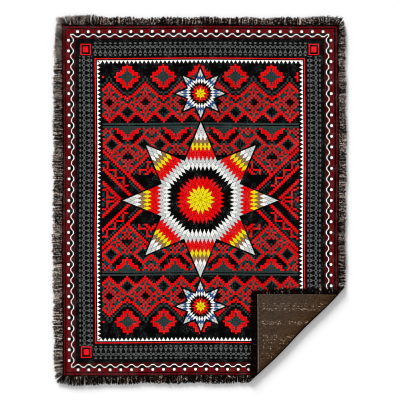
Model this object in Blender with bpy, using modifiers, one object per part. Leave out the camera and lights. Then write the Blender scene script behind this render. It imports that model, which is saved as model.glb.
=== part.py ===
"""A woven throw blanket spread out flat, with its lower right corner turned over onto the face.

Metres, Z up. Seen from above, X points right and Y towards the top edge, and the origin is on
the floor under the middle of the throw. The cloth is one sheet. The fringe on each edge hangs
on a narrow backing strip of its own, and the two sides that run into the turned corner have
a second strip there.
"""

import math

import bmesh
import bpy
from mathutils import Matrix, Vector

# The cloth, without its fringe
CLOTH_WIDTH = 1.300
CLOTH_LENGTH = 1.650
CLOTH_THICKNESS = 0.0020
CELL = 0.060

# The turned corner: its edges along the fold's two sides, and the bend's section
FLAP_SIDE = 0.387
BEND_RADIUS = 0.006
BEND_STEPS = 8
LAYER_GAP = 0.0010
FALL_LENGTH = 0.080
FALL_STEPS = 5

# The fringe
PARTING = 0.0003
STRIP_WIDTH = 0.006
LOCK_PITCH = 0.0216
LOCK_WIDTH = 0.0130
FAN_REACH = 0.065
FAN_ANGLE = math.radians(38)
# Along a lock: share of its length, share of its root's width, share of LOCK_SWAY sideways
LOCK_SECTIONS = ((0.52, 0.92, 1.0), (1.0, 0.40, -0.8))
LOCK_SWAY = 0.0030
# From one lock to the next, the turn of the sines that vary its length and its sway
RIPPLE_TURN = 2.4
SWAY_TURN = 1.9
# How much of an edge's rise and fall is its long wave, and how much the ripple on it
WAVE_SHARE = 0.7
RIPPLE_SHARE = 0.3

# Where the cloth isn't quite straight or flat
EDGE_SWAY = 0.0016
EDGE_WAVE = 0.95
FOLD_SWAY = 0.0022
FOLD_WAVE = 0.34
FOLD_REACH = 0.11

# Low swells in the cloth: centre x and y, direction in degrees, half length, half width, height
SWELLS = (
    (-0.34, 0.47, 22, 0.30, 0.150, 0.0026),
    (0.33, 0.50, -35, 0.27, 0.140, 0.0022),
    (-0.37, -0.12, 80, 0.34, 0.130, 0.0020),
    (0.42, 0.02, 68, 0.30, 0.135, 0.0024),
    (-0.26, -0.56, -18, 0.32, 0.145, 0.0028),
    (0.12, -0.62, 40, 0.20, 0.110, 0.0018),
)

# Each edge: way round from the top edge, mean fringe length, rise and fall, waves, phase
EDGES = {
    "top": (0, 0.0350, 0.0055, 7.0, 0.6),
    "left": (90, 0.0395, 0.0040, 9.0, 2.1),
    "bottom": (180, 0.0345, 0.0045, 6.0, 4.0),
    "right": (270, 0.0350, 0.0040, 8.0, 5.2),
}
# The edges that run into the turned corner, and the way to it along each strip
CORNER_WAY = {"right": 1, "bottom": -1}

ROOT_DEPTH = PARTING + STRIP_WIDTH
DIAGONAL = math.sqrt(0.5)
# The fold's crest, and the line where the bend starts, both measured square to the fold
CREST = (CLOTH_WIDTH / 2 + CLOTH_LENGTH / 2 - FLAP_SIDE) * DIAGONAL
BEND_START = CREST - BEND_RADIUS - CLOTH_THICKNESS / 2
BEND_LENGTH = math.pi * BEND_RADIUS
LAYER_STEP = CLOTH_THICKNESS + LAYER_GAP
# How far from the corner a strip parts, with room for its locks to lie flat before the bend
BEND_ROOM = 0.055
TURNED_REACH = FLAP_SIDE + BEND_ROOM

CLOTH_COLOUR = (0.045, 0.014, 0.014, 1.0)
FRINGE_COLOUR = (0.030, 0.019, 0.015, 1.0)


def clear_scene():
    for thing in list(bpy.data.objects):
        bpy.data.objects.remove(thing, do_unlink=True)


def plain_material(name, colour, roughness):
    material = bpy.data.materials.new(name)
    material.use_nodes = True
    shader = material.node_tree.nodes["Principled BSDF"]
    shader.inputs["Base Color"].default_value = colour
    shader.inputs["Roughness"].default_value = roughness
    shader.inputs["Metallic"].default_value = 0.0
    material.diffuse_color = colour
    return material


def smooth_step(share):
    share = min(max(share, 0.0), 1.0)
    return share * share * (3 - 2 * share)


def swell_height(x, y):
    """How far the low swells lift the cloth at one point of the floor."""
    height = 0.0
    for centre_x, centre_y, degrees, half_length, half_width, rise in SWELLS:
        turn = math.radians(degrees)
        along = (x - centre_x) * math.cos(turn) + (y - centre_y) * math.sin(turn)
        beside = (y - centre_y) * math.cos(turn) - (x - centre_x) * math.sin(turn)
        spread = (along / half_length) ** 2 + (beside / half_width) ** 2
        if spread < 1:
            height += rise * (1 - spread) ** 2
    return height


def laid(x, y):
    """Where a point of the flat sheet's middle layer lies once the corner is turned over."""
    across = (x - y) * DIAGONAL
    along = (x + y) * DIAGONAL
    height = CLOTH_THICKNESS / 2
    past = across - BEND_START
    if past > BEND_LENGTH:
        run = past - BEND_LENGTH
        across = BEND_START - run
        fall = smooth_step(run / FALL_LENGTH)
        height += 2 * BEND_RADIUS + (LAYER_STEP - 2 * BEND_RADIUS) * fall
    elif past > 0:
        turn = past / BEND_RADIUS
        across = BEND_START + BEND_RADIUS * math.sin(turn)
        height += BEND_RADIUS * (1 - math.cos(turn))
    near_fold = smooth_step(1 - abs(across - CREST) / FOLD_REACH)
    across += FOLD_SWAY * near_fold * math.sin(math.tau * along / FOLD_WAVE)
    x = (along + across) * DIAGONAL
    y = (along - across) * DIAGONAL
    sway_x = EDGE_SWAY * math.sin(math.tau * y / EDGE_WAVE)
    sway_y = EDGE_SWAY * math.cos(math.tau * x / EDGE_WAVE)
    return Vector((x + sway_x, y + sway_y, height + swell_height(x, y)))


def everything(sheet):
    return sheet.verts[:] + sheet.edges[:] + sheet.faces[:]


def cut_along_fold(sheet):
    """Gives a flat sheet the lines that its bend and the flap's fall need."""
    lines = [BEND_LENGTH * step / BEND_STEPS for step in range(BEND_STEPS + 1)]
    lines += [BEND_LENGTH + FALL_LENGTH * step / FALL_STEPS for step in range(1, FALL_STEPS + 1)]
    square_to_fold = Vector((DIAGONAL, -DIAGONAL, 0))
    for line in lines:
        bmesh.ops.bisect_plane(
            sheet, geom=everything(sheet), dist=1e-6,
            plane_co=square_to_fold * (BEND_START + line), plane_no=square_to_fold,
        )


def keep_one_end(sheet, edge_length, pitch, corner_way, turned):
    """Leaves the cells of the turned end, or of the rest, and drops the space where they part."""
    spare = []
    for cell in sheet.faces:
        to_corner = edge_length / 2 - corner_way * cell.calc_center_median().x
        cell_width = cell.calc_area() / STRIP_WIDTH
        is_lock = abs(cell_width - LOCK_WIDTH) < PARTING
        margin = 0 if is_lock else pitch / 2
        kept = to_corner < TURNED_REACH - margin if turned else to_corner > TURNED_REACH + margin
        if not kept:
            spare.append(cell)
    bmesh.ops.delete(sheet, geom=spare, context="FACES")


def finish_sheet(name, sheet, collection, material):
    """Lays a flat sheet as the throw lies, and gives it the cloth's thickness."""
    for vertex in sheet.verts:
        vertex.co = laid(vertex.co.x, vertex.co.y)
    mesh = bpy.data.meshes.new(name)
    sheet.to_mesh(mesh)
    sheet.free()
    mesh.materials.append(material)
    piece = bpy.data.objects.new(name, mesh)
    collection.objects.link(piece)
    body = piece.modifiers.new("Thickness", "SOLIDIFY")
    body.thickness = CLOTH_THICKNESS
    body.offset = 0.0
    body.use_even_offset = True
    return piece


def make_cloth(collection, material):
    sheet = bmesh.new()
    bmesh.ops.create_grid(
        sheet,
        x_segments=round(CLOTH_WIDTH / CELL),
        y_segments=round(CLOTH_LENGTH / CELL),
        size=0.5,
    )
    bmesh.ops.scale(sheet, verts=sheet.verts, vec=(CLOTH_WIDTH, CLOTH_LENGTH, 1))
    cut_along_fold(sheet)
    return finish_sheet("blanket", sheet, collection, material)


def make_strip(edge_length):
    """The backing strip, lying along X, with a cell for each lock and for each space between."""
    locks = int(edge_length / LOCK_PITCH)
    pitch = edge_length / locks
    sheet = bmesh.new()
    bmesh.ops.create_grid(sheet, x_segments=2 * locks - 1, y_segments=1, size=0.5)
    for vertex in sheet.verts:
        line = round((vertex.co.x + 0.5) * (2 * locks - 1))
        lock, far_side = divmod(line, 2)
        middle = (lock + 0.5) * pitch - edge_length / 2
        vertex.co.x = middle + (LOCK_WIDTH / 2 if far_side else -LOCK_WIDTH / 2)
        vertex.co.y = (vertex.co.y + 0.5) * STRIP_WIDTH
    return sheet, pitch


def root_edges(sheet):
    """The strip's outer edges that carry a lock, from left to right."""
    roots = []
    for edge in sheet.edges:
        first, second = edge.verts
        outer = min(first.co.y, second.co.y) > STRIP_WIDTH / 2
        if outer and abs(edge.calc_length() - LOCK_WIDTH) < LOCK_WIDTH / 100:
            roots.append(edge)
    return sorted(roots, key=lambda edge: edge.verts[0].co.x)


def grow_lock(sheet, edge, length, lean, sway):
    """Draws one lock out of the strip: a flat, tapered, slightly crooked tuft."""
    root = (edge.verts[0].co + edge.verts[1].co) / 2
    way_out = Vector((math.sin(lean), math.cos(lean), 0))
    way_across = Vector((math.cos(lean), -math.sin(lean), 0))
    for reach, width, side_share in LOCK_SECTIONS:
        grown = bmesh.ops.extrude_edge_only(sheet, edges=[edge])["geom"]
        edge = next(part for part in grown if isinstance(part, bmesh.types.BMEdge))
        middle = root + way_out * length * reach + way_across * sway * side_share
        left, right = sorted(edge.verts, key=lambda vertex: vertex.co.dot(way_across))
        left.co = middle - way_across * LOCK_WIDTH * width / 2
        right.co = middle + way_across * LOCK_WIDTH * width / 2


def make_fringe(edge_name, collection, material, turned=False):
    """One edge's fringe. Of an edge with a turned end, turned picks that end, or else the rest."""
    degrees, mean_length, rise, waves, phase = EDGES[edge_name]
    upright = edge_name in ("left", "right")
    edge_length = CLOTH_LENGTH if upright else CLOTH_WIDTH
    half_depth = (CLOTH_WIDTH if upright else CLOTH_LENGTH) / 2
    sheet, pitch = make_strip(edge_length)
    if edge_name in CORNER_WAY:
        keep_one_end(sheet, edge_length, pitch, CORNER_WAY[edge_name], turned)
    locks = 0
    for edge in root_edges(sheet):
        locks += 1
        place = (edge.verts[0].co.x + edge.verts[1].co.x) / 2
        share = place / edge_length
        wave = math.sin(math.tau * waves * share + phase)
        number = round(place / pitch)
        ripple = math.sin(RIPPLE_TURN * number + phase)
        length = mean_length + rise * (WAVE_SHARE * wave + RIPPLE_SHARE * ripple) - ROOT_DEPTH
        to_corner = edge_length / 2 - abs(place)
        fan = FAN_ANGLE * smooth_step(1 - to_corner / FAN_REACH)
        lean = math.copysign(fan, place)
        sway = LOCK_SWAY * math.sin(SWAY_TURN * number + phase)
        grow_lock(sheet, edge, length, lean, sway)
    bmesh.ops.translate(sheet, verts=sheet.verts, vec=(0, half_depth + PARTING, 0))
    turn = Matrix.Rotation(math.radians(degrees), 3, "Z")
    bmesh.ops.rotate(sheet, verts=sheet.verts, cent=(0, 0, 0), matrix=turn)
    if turned:
        cut_along_fold(sheet)
    bmesh.ops.recalc_face_normals(sheet, faces=sheet.faces)
    name = f"fringe_{edge_name}_turned" if turned else f"fringe_{edge_name}"
    print(f"{name}: {locks} locks")
    return finish_sheet(name, sheet, collection, material)


def build():
    clear_scene()
    throw = bpy.data.collections.new("blanket")
    bpy.context.scene.collection.children.link(throw)
    cloth_material = plain_material("woven_cloth", CLOTH_COLOUR, 0.92)
    fringe_material = plain_material("fringe_yarn", FRINGE_COLOUR, 0.85)
    make_cloth(throw, cloth_material)
    for edge_name in EDGES:
        make_fringe(edge_name, throw, fringe_material)
    for edge_name in CORNER_WAY:
        make_fringe(edge_name, throw, fringe_material, turned=True)


build()
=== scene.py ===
# %% [markdown]
# # A woven throw blanket, spread flat with one corner turned over
#
# The throw is one length of jacquard cloth: its pattern is woven in with black, red, green and
# white yarns, and its loose warp and weft ends make a short fringe on all four edges. The packed
# solids already say where everything lies, so this lesson gives them their yarns and colours.

# %% Tools and the fixed frame
import math
from typing import NamedTuple

import bmesh
import bpy
import numpy as np
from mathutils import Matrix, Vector


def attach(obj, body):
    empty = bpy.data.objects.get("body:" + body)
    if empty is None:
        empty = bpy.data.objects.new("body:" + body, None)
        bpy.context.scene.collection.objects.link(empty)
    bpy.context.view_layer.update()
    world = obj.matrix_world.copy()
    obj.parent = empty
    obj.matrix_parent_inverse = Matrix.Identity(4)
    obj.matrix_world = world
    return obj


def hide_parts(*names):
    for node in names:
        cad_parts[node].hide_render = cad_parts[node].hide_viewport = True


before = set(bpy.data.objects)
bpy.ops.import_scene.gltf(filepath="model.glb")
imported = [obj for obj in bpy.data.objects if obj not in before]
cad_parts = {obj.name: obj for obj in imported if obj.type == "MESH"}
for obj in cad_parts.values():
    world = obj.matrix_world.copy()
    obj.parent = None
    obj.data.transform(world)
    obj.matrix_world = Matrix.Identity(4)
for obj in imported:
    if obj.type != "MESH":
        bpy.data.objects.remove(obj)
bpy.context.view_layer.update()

# %% [markdown]
# ## Sizes
#
# Everything hangs on a few real sizes, in metres. X runs to the right and Y to the top edge.
# The cloth is 1.30 by 1.65 m and 2 mm thick, and the corner that is turned over has sides of
# 387 mm. They could be typed in wherever they are needed, but named once they stay in step.

# %% Sizes of the cloth
CLOTH_WIDTH = 1.300
CLOTH_LENGTH = 1.650
CLOTH_THICKNESS = 0.0020
FLAP_SIDE = 0.387
BEND_RADIUS = 0.006
LAYER_GAP = 0.0010
DIAGONAL = math.sqrt(0.5)
CREST = (CLOTH_WIDTH / 2 + CLOTH_LENGTH / 2 - FLAP_SIDE) * DIAGONAL
BEND_START = CREST - BEND_RADIUS - CLOTH_THICKNESS / 2
BEND_LENGTH = math.pi * BEND_RADIUS
LAYER_STEP = CLOTH_THICKNESS + LAYER_GAP
print("flat cloth:", CLOTH_WIDTH, "by", CLOTH_LENGTH, "m, bend:", round(BEND_LENGTH, 4), "m")

# %% [markdown]
# ## Camera
#
# The picture was taken from straight above, and one of its pixels covers 4.7 mm of the floor. A
# wide lens would make the edges lean, so a long one is used, from so high that 400 pixels cover
# 1.88 m. The plain view transform keeps blacks and reds as deep as they are in the picture, and a
# pixel filter that is a little narrow keeps single stitches sharp.

# %% Camera
PIXEL = 0.0047
PICTURE_PIXELS = 400
LENS = 85
SENSOR = 36
CAMERA_OVER = (-0.0028, 0.0007)
PIXEL_FILTER = 0.9
view_width = PICTURE_PIXELS * PIXEL
camera_data = bpy.data.cameras.new("camera")
camera_data.lens = LENS
camera_data.sensor_width = SENSOR
camera = bpy.data.objects.new("camera", camera_data)
camera.location = (*CAMERA_OVER, view_width * LENS / SENSOR)
bpy.context.scene.collection.objects.link(camera)
bpy.context.scene.camera = camera
bpy.context.scene.view_settings.view_transform = "Standard"
bpy.context.scene.cycles.filter_width = PIXEL_FILTER
print("camera height", round(camera.location.z, 3), "m")

# %% [markdown]
# ## Swells and puckers
#
# Cloth on a floor is never quite flat: it holds low swells where it hasn't settled, and fine
# puckers from the loom. They could be simulated, but a few smooth bumps, 2 to 3 mm high, and
# crossed waves of up to 1 mm look the same from above, and are the same on every run.

# %% Swells and puckers
# Each swell: centre x and y, direction in degrees, half length, half width, height
SWELLS = (
    (-0.34, 0.47, 22, 0.30, 0.150, 0.0026),
    (0.33, 0.50, -35, 0.27, 0.140, 0.0022),
    (-0.37, -0.12, 80, 0.34, 0.130, 0.0020),
    (0.42, 0.02, 68, 0.30, 0.135, 0.0024),
    (-0.26, -0.56, -18, 0.32, 0.145, 0.0028),
    (0.12, -0.62, 40, 0.20, 0.110, 0.0018),
)
# Each wave of the puckers: its length, and its direction in degrees, which also shifts it
PUCKERS = ((0.090, 25), (0.067, 118), (0.131, 70), (0.053, 160))
PUCKER_HEIGHT = 0.0005
PUCKER_MARGIN = 0.08


def smooth_step(share):
    share = np.clip(share, 0.0, 1.0)
    return share * share * (3 - 2 * share)


def relief(x, y):
    """The height of the swells and puckers over one point of the floor."""
    height = np.zeros_like(x)
    for centre_x, centre_y, degrees, half_length, half_width, rise in SWELLS:
        turn = math.radians(degrees)
        along = (x - centre_x) * math.cos(turn) + (y - centre_y) * math.sin(turn)
        beside = (y - centre_y) * math.cos(turn) - (x - centre_x) * math.sin(turn)
        spread = (along / half_length) ** 2 + (beside / half_width) ** 2
        height += rise * np.clip(1 - spread, 0, 1) ** 2
    pucker = np.ones_like(x)
    for length, degrees in PUCKERS:
        turn = math.radians(degrees)
        place = x * math.cos(turn) + y * math.sin(turn)
        pucker += np.sin(math.tau * place / length + degrees) / len(PUCKERS)
    to_edge = np.minimum(CLOTH_WIDTH / 2 - abs(x), CLOTH_LENGTH / 2 - abs(y))
    return height + PUCKER_HEIGHT * pucker * smooth_step(to_edge / PUCKER_MARGIN)


print("swells:", len(SWELLS), "highest", max(swell[-1] for swell in SWELLS), "m")

# %% [markdown]
# ## How the throw lies
#
# A point of the flat cloth is laid by one rule: before the bend it stays where it is, in the
# bend it goes round a half circle, and past it the cloth lies face down and sinks from the bend's
# height to just above the face. The edges sway a little, as cut cloth does. The throw could be
# folded by hand, but the same rule also carries the fringe, so nothing is matched by eye.

# %% Laying rule
FALL_LENGTH = 0.080
EDGE_SWAY = 0.0016
EDGE_WAVE = 0.95
FOLD_SWAY = 0.0022
FOLD_WAVE = 0.34
FOLD_REACH = 0.11


def laid(x, y, lift):
    """Lays points of the flat throw. Lift is their height above the middle of the cloth."""
    across = (x - y) * DIAGONAL
    along = (x + y) * DIAGONAL
    past = across - BEND_START
    turn = np.clip(past / BEND_RADIUS, 0, math.pi)
    run = np.maximum(past - BEND_LENGTH, 0)
    radius = BEND_RADIUS - lift
    across = np.where(past > 0, BEND_START + radius * np.sin(turn) - run, across)
    height = CLOTH_THICKNESS / 2 + BEND_RADIUS - radius * np.cos(turn)
    height += (LAYER_STEP - 2 * BEND_RADIUS) * smooth_step(run / FALL_LENGTH)
    near_fold = smooth_step(1 - abs(across - CREST) / FOLD_REACH)
    across = across + FOLD_SWAY * near_fold * np.sin(math.tau * along / FOLD_WAVE)
    x = (along + across) * DIAGONAL
    y = (along - across) * DIAGONAL
    sway_x = EDGE_SWAY * np.sin(math.tau * y / EDGE_WAVE)
    sway_y = EDGE_SWAY * np.cos(math.tau * x / EDGE_WAVE)
    return np.stack((x + sway_x, y + sway_y, height + relief(x, y)), axis=-1)


corner = laid(np.array([CLOTH_WIDTH / 2]), np.array([-CLOTH_LENGTH / 2]), np.zeros(1))[0]
print("the turned corner comes to lie at", corner.round(3))

# %% [markdown]
# ## The stitch chart: the upper band
#
# The middle of the throw is a stepped pattern on a grid of stitches about 9 mm wide, like a
# counted cross-stitch chart. It could be painted stitch by stitch, but it is the same to left and
# right and to top and bottom, and its upper band repeats every 18 stitches. So only a small part
# is charted, one letter a stitch: R red, T dark teal, G grey green, K black.

# %% Chart of the upper band
STITCH_WIDTH = 0.009414
STITCH_HEIGHT = 0.00920
CHART_COLUMNS = 98
CHART_ROWS = 139
BAND_REPEAT = 18
# The middle of the first large lozenge, and the last row of the band
BAND_CENTRE_COLUMN = 3
BAND_CENTRE_ROW = 19
BAND_END_ROW = 32
# From a large lozenge's middle column to its neighbour's, row by row from its upper tip
BAND_CHART = (
    "RKGKKKKKKK",
    "RRKGKKKKKK",
    "TRRKGKKKKK",
    "RTRRKGKKKK",
    "RTTRRKGKKK",
    "TRRTRRKGGK",
    "TRKTTRRKKG",
    "RTRTTTRRRK",
    "KRTRKRTKRR",
    "KKRTRRTTKR",
    "KKKRTTRRTK",
    "KKRTRRTTRR",
    "KRTRKRTRRT",
    "RTRTTTRRTK",
    "TRKTTRRTKK",
    "TRRTRRTKKK",
    "RTTRRRRTKK",
    "RTRRKKRRTK",
    "TRRKKKKRRT",
    "RRKKKKKKRR",
    "RKKKKKKKKR",
)
print("upper band:", len(BAND_CHART), "rows of", len(BAND_CHART[0]), "stitches")

# %% [markdown]
# ## The stitch chart: the middle band
#
# The middle band starts at each side with half a lozenge, and goes on as a lattice over slanting
# stairs. Rules could give its left end too, but nothing repeats there, so a full table is both
# shorter and plainer.

# %% Chart of the middle band
# From under the green lines down to the throw's middle row
MIDDLE_CHART = (
    "KRTTRKRRTTGGG",
    "RTRRTTKRRRTGG",
    "TRKRTKKRRRRTG",
    "RTTTRKKKKRRRT",
    "KTTRRRKKKKRRT",
    "RTRRTRRKKKRRR",
    "TRRTKTRRKKKKR",
    "RRTKKKTRRKKTK",
    "RTKKKKKTRRTTR",
    "RRTKKKTRRTRRT",
    "KRRTKTRRTTKRT",
    "RKRRTRRTTTRTR",
    "RRKRRRTRKRTRK",
    "KRRKRTTRRTRKT",
    "GKRRTRRTTRKKK",
    "KGKRRTTRRTKKK",
    "KKTKRRTRKRTRK",
    "RRRGKRRTTTRTR",
    "KTRKGKRRTTKRT",
    "GKRKKGKRRTRRT",
    "RKRKKKTKRRTTR",
    "RRKRRRRGKRRTR",
    "KRRKKTRKGKRRK",
    "KKRRTKRKKGKRR",
    "KKKRRTRKKKTKR",
    "KKKKRRKRRRRKK",
    "KKKKKRRKKKRKK",
    "RKKKKKRRKTRKK",
    "RRKKKKKRRKRKK",
    "TRRKKKKKRRKRR",
    "KKRRKKKKKRRKK",
    "RRKRRKKKKKRRK",
    "KKRKRRKKKKKRR",
    "TKRKTRRKKKKKR",
    "GKRTKKRRKKKKK",
    "KTRRRRKRRKKKK",
    "RKTKKKRKRRKKK",
)
MIDDLE_START_ROW = 33
# Half the lattice's repeat, its last whole row, its very last row, and its reach between them
LATTICE_HALF = 12
LATTICE_FULL_ROW = 46
LATTICE_END_ROW = 56
LATTICE_END_COLUMN = 30
# Two stairs of red, two stitches wide, and one thin green one: row less column of each stitch
RED_STAIRS = (44, 45, 53, 54, 60, 61)
GREEN_STAIR = 47
print("middle band:", len(MIDDLE_CHART), "rows of", len(MIDDLE_CHART[0]), "stitches")

# %% [markdown]
# ## Small diamonds
#
# Between the large lozenges stand small stepped diamonds: a red outline, a teal cross and a grey
# green heart. They are so regular that counting steps from their middle is shorter than a table.

# %% Small diamonds
SMALL_DIAMOND_ROW = 6
SMALL_DIAMOND_SIZE = 6
# How many stitches wide the outer rows of a diamond are to each side, by steps from its middle
OUTER_WIDTHS = {6: 0, 5: 2, 4: 2, 3: 3}
CROSS_END = 4
HEART_END = 2


def small_diamond_stitch(beside, above):
    """The stitch of a small diamond, by its steps from the middle, or None outside it."""
    low, high = sorted((abs(beside), abs(above)))
    if high > SMALL_DIAMOND_SIZE or low > OUTER_WIDTHS.get(high, high):
        return None
    if low == 0:
        return "R" if high > CROSS_END else "T" if high > HEART_END else "G"
    if low == 1 and high <= HEART_END:
        return "T" if high == HEART_END else "G"
    return "R"


steps = range(-SMALL_DIAMOND_SIZE, SMALL_DIAMOND_SIZE + 1)
for above in steps:
    print(" ".join(small_diamond_stitch(beside, above) or "." for beside in steps))

# %% [markdown]
# ## Reading the chart
#
# On a loom one set of punched cards weaves the whole throw, forwards and then backwards. All
# 13,622 stitches could be written out, but here, as on the loom, mirrors and repeats lead every
# stitch back to the small charted part.

# %% Reading the chart
# The column that the pattern is mirrored at; there is one column more to the right of it
MIRROR_COLUMN = 48
# The tip of the zigzag over each lozenge: row, and steps from the lozenge's middle
ZIGZAG_TIP = ((6, 0), (7, 1), (8, 1))


def band_stitch(row, column):
    """A stitch of the upper band, whose lozenges repeat every 18 stitches."""
    # Three rows close the band: green, black and green
    if row >= BAND_END_ROW - 2:
        return "K" if row == BAND_END_ROW - 1 else "G"
    half_repeat = BAND_REPEAT // 2
    beside = abs((column - BAND_CENTRE_COLUMN + half_repeat) % BAND_REPEAT - half_repeat)
    diamond = small_diamond_stitch(half_repeat - beside, row - SMALL_DIAMOND_ROW)
    if diamond:
        return diamond
    chart_row = row - BAND_CENTRE_ROW + len(BAND_CHART) // 2
    if chart_row >= 0:
        return BAND_CHART[chart_row][beside]
    return "G" if (row, beside) in ZIGZAG_TIP else "K"


def middle_stitch(row, column):
    """A stitch of the middle band: charted at its end, and then a lattice over the stairs."""
    charted = MIDDLE_CHART[row - MIDDLE_START_ROW]
    if column <= LATTICE_HALF:
        return charted[column]
    in_lattice = row <= LATTICE_END_ROW and column > row - RED_STAIRS[0]
    if in_lattice and (column <= LATTICE_END_COLUMN or row <= LATTICE_FULL_ROW):
        place = column % (2 * LATTICE_HALF)
        return charted[min(place, 2 * LATTICE_HALF - place)]
    if row - column in RED_STAIRS:
        return "R"
    return "G" if row - column == GREEN_STAIR else "K"


def stitch(row, column):
    if not (0 <= row < CHART_ROWS and 0 <= column < CHART_COLUMNS):
        return "K"
    row = min(row, CHART_ROWS - 1 - row)
    column = min(column, 2 * MIRROR_COLUMN - column)
    if row <= BAND_END_ROW:
        return band_stitch(row, column)
    if column < 0:
        return middle_stitch(min(row + 1, CHART_ROWS // 2), 0)
    return middle_stitch(row, column)


first_stitches = "".join(stitch(BAND_CENTRE_ROW, column) for column in range(2 * BAND_REPEAT))
print("row", BAND_CENTRE_ROW, "starts with", first_stitches)

# %% [markdown]
# ## Colours
#
# Yarn colours are given on the 0 to 255 scale that screens use, because that is how a colour
# picker shows them. Shaders reckon with light itself, so one helper turns the first into the
# second, by the standard curve of computer screens.

# %% Colours
# The screen curve: a straight part up to its knee, and a power above it
CURVE_KNEE = 0.04045
CURVE_SLOPE = 12.92
CURVE_OFFSET = 0.055
CURVE_POWER = 2.4


def from_screen(share):
    if share <= CURVE_KNEE:
        return share / CURVE_SLOPE
    return ((share + CURVE_OFFSET) / (1 + CURVE_OFFSET)) ** CURVE_POWER


def linear(red, green, blue):
    """A colour on the shader's linear scale, from the 0 to 255 scale that screens use."""
    return tuple(from_screen(part / 255) for part in (red, green, blue))


BLACK = linear(2, 2, 2)
RED = linear(234, 5, 9)
STITCH_COLOURS = {"K": BLACK, "R": RED, "T": linear(4, 68, 64), "G": linear(48, 62, 60)}
print("red yarn in the shader:", [round(part, 3) for part in RED])

# %% [markdown]
# ## Grid of the cloth
#
# The real cloth is a grid of yarns. Its sheet starts as a flat grid too, with one face for each
# stitch, so that a stitch's colour can be stored on its own face. A picture could hold the chart
# instead, but a face is always sharp. Of the two green lines with a black one between them, the
# black one is woven thin, so its row has half the height.

# %% Grid of the cloth
MARGIN_CELLS = 20
GRID_HALF = 0.5
# The chart sits a little above the middle of the cloth
CHART_MIDDLE = (0.0, 0.0046)


def cell_lines(sizes, middle, half_span):
    """Grid lines: one after each stitch of the chart, and even ones in the margins around it."""
    inner = np.concatenate(([0.0], np.cumsum(sizes)))
    inner += middle - inner[-1] / 2
    before = np.linspace(-half_span, inner[0], MARGIN_CELLS + 1)[:-1]
    after = np.linspace(inner[-1], half_span, MARGIN_CELLS + 1)[1:]
    return np.concatenate((before, inner, after))


widths = np.full(CHART_COLUMNS, STITCH_WIDTH)
heights = np.full(CHART_ROWS, STITCH_HEIGHT)
heights[[BAND_END_ROW - 1, -BAND_END_ROW]] /= 2
column_lines = cell_lines(widths, CHART_MIDDLE[0], CLOTH_WIDTH / 2)
row_lines = cell_lines(heights, CHART_MIDDLE[1], CLOTH_LENGTH / 2)
sheet = bmesh.new()
bmesh.ops.create_grid(
    sheet, x_segments=len(column_lines) - 1, y_segments=len(row_lines) - 1, size=GRID_HALF
)
for vertex in sheet.verts:
    column = round((vertex.co.x + GRID_HALF) * (len(column_lines) - 1))
    row = round((vertex.co.y + GRID_HALF) * (len(row_lines) - 1))
    vertex.co.x = column_lines[column]
    vertex.co.y = row_lines[row]
print("grid of the cloth:", len(sheet.faces), "faces")

# %% [markdown]
# ## Colour of each stitch
#
# A dyed yarn keeps its colour when the cloth is folded, so colours are stored on the flat grid,
# before it is bent. Each corner of a face also gets its flat place in metres and its place inside
# the stitch, as two UV maps. A shader could use the place in the room instead, but then the
# pattern would slide over the fold.

# %% Colour of each stitch
colours = sheet.loops.layers.float_color.new("stitch")
flat_place = sheet.loops.layers.uv.new("flat_place")
stitch_place = sheet.loops.layers.uv.new("stitch_place")
counts = dict.fromkeys(STITCH_COLOURS, 0)
for face in sheet.faces:
    middle = face.calc_center_median()
    column = np.searchsorted(column_lines, middle.x) - 1 - MARGIN_CELLS
    row = CHART_ROWS + MARGIN_CELLS - np.searchsorted(row_lines, middle.y)
    letter = stitch(row, column)
    counts[letter] += 1
    for corner in face.loops:
        point = corner.vert.co.xy
        corner[colours] = (*STITCH_COLOURS[letter], 1.0)
        corner[flat_place].uv = point
        corner[stitch_place].uv = (float(point.x > middle.x), float(point.y > middle.y))
print("faces of each yarn:", counts)

# %% [markdown]
# ## Bend lines and thickness
#
# Real cloth bends anywhere, but a mesh only along its edges. The grid runs straight and the fold
# slants, so the sheet is cut along lines parallel to the fold where the bend will be. Then it is
# extruded to its thickness. A Solidify modifier would do that too, but here the back and the cut
# edge get their own finishes on the way.

# %% Bend lines and thickness
BEND_CUTS = 12
CUT_TOLERANCE = 1e-6
FACE_SLOT = 0
BACK_SLOT = 1
EDGE_SLOT = 2

for step in range(BEND_CUTS + 1):
    line = BEND_START + BEND_LENGTH * step / BEND_CUTS
    bmesh.ops.bisect_plane(
        sheet, geom=sheet.verts[:] + sheet.edges[:] + sheet.faces[:], dist=CUT_TOLERANCE,
        plane_co=(DIAGONAL * line, -DIAGONAL * line, 0), plane_no=(DIAGONAL, -DIAGONAL, 0),
    )
backs = sheet.faces[:]
grown = bmesh.ops.extrude_face_region(sheet, geom=backs, use_keep_orig=True)["geom"]
tops = [part for part in grown if isinstance(part, bmesh.types.BMFace)]
top_points = [part for part in grown if isinstance(part, bmesh.types.BMVert)]
bmesh.ops.translate(sheet, verts=sheet.verts, vec=(0, 0, -CLOTH_THICKNESS / 2))
bmesh.ops.translate(sheet, verts=top_points, vec=(0, 0, CLOTH_THICKNESS))
for face in sheet.faces:
    face.material_index = EDGE_SLOT
for face in backs:
    face.material_index = BACK_SLOT
for face in tops:
    face.material_index = FACE_SLOT
bmesh.ops.recalc_face_normals(sheet, faces=sheet.faces)
print("face, back and cut edge together:", len(sheet.faces), "faces")

# %% [markdown]
# ## The cloth, laid on the floor
#
# Now the flat sheet is put where the real one lies. Each of its points goes through the laying
# rule at once, as one numpy array, which is much faster than moving them one by one. Shading is
# smooth over the swells, and sharp only at the cut edge.

# %% Make the cloth
SHARP_ANGLE = math.radians(50)


def mesh_points(mesh):
    points = np.empty(len(mesh.vertices) * 3)
    mesh.vertices.foreach_get("co", points)
    return points.reshape(-1, 3)


def set_points(mesh, points):
    mesh.vertices.foreach_set("co", points.ravel())
    mesh.update()


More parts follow.
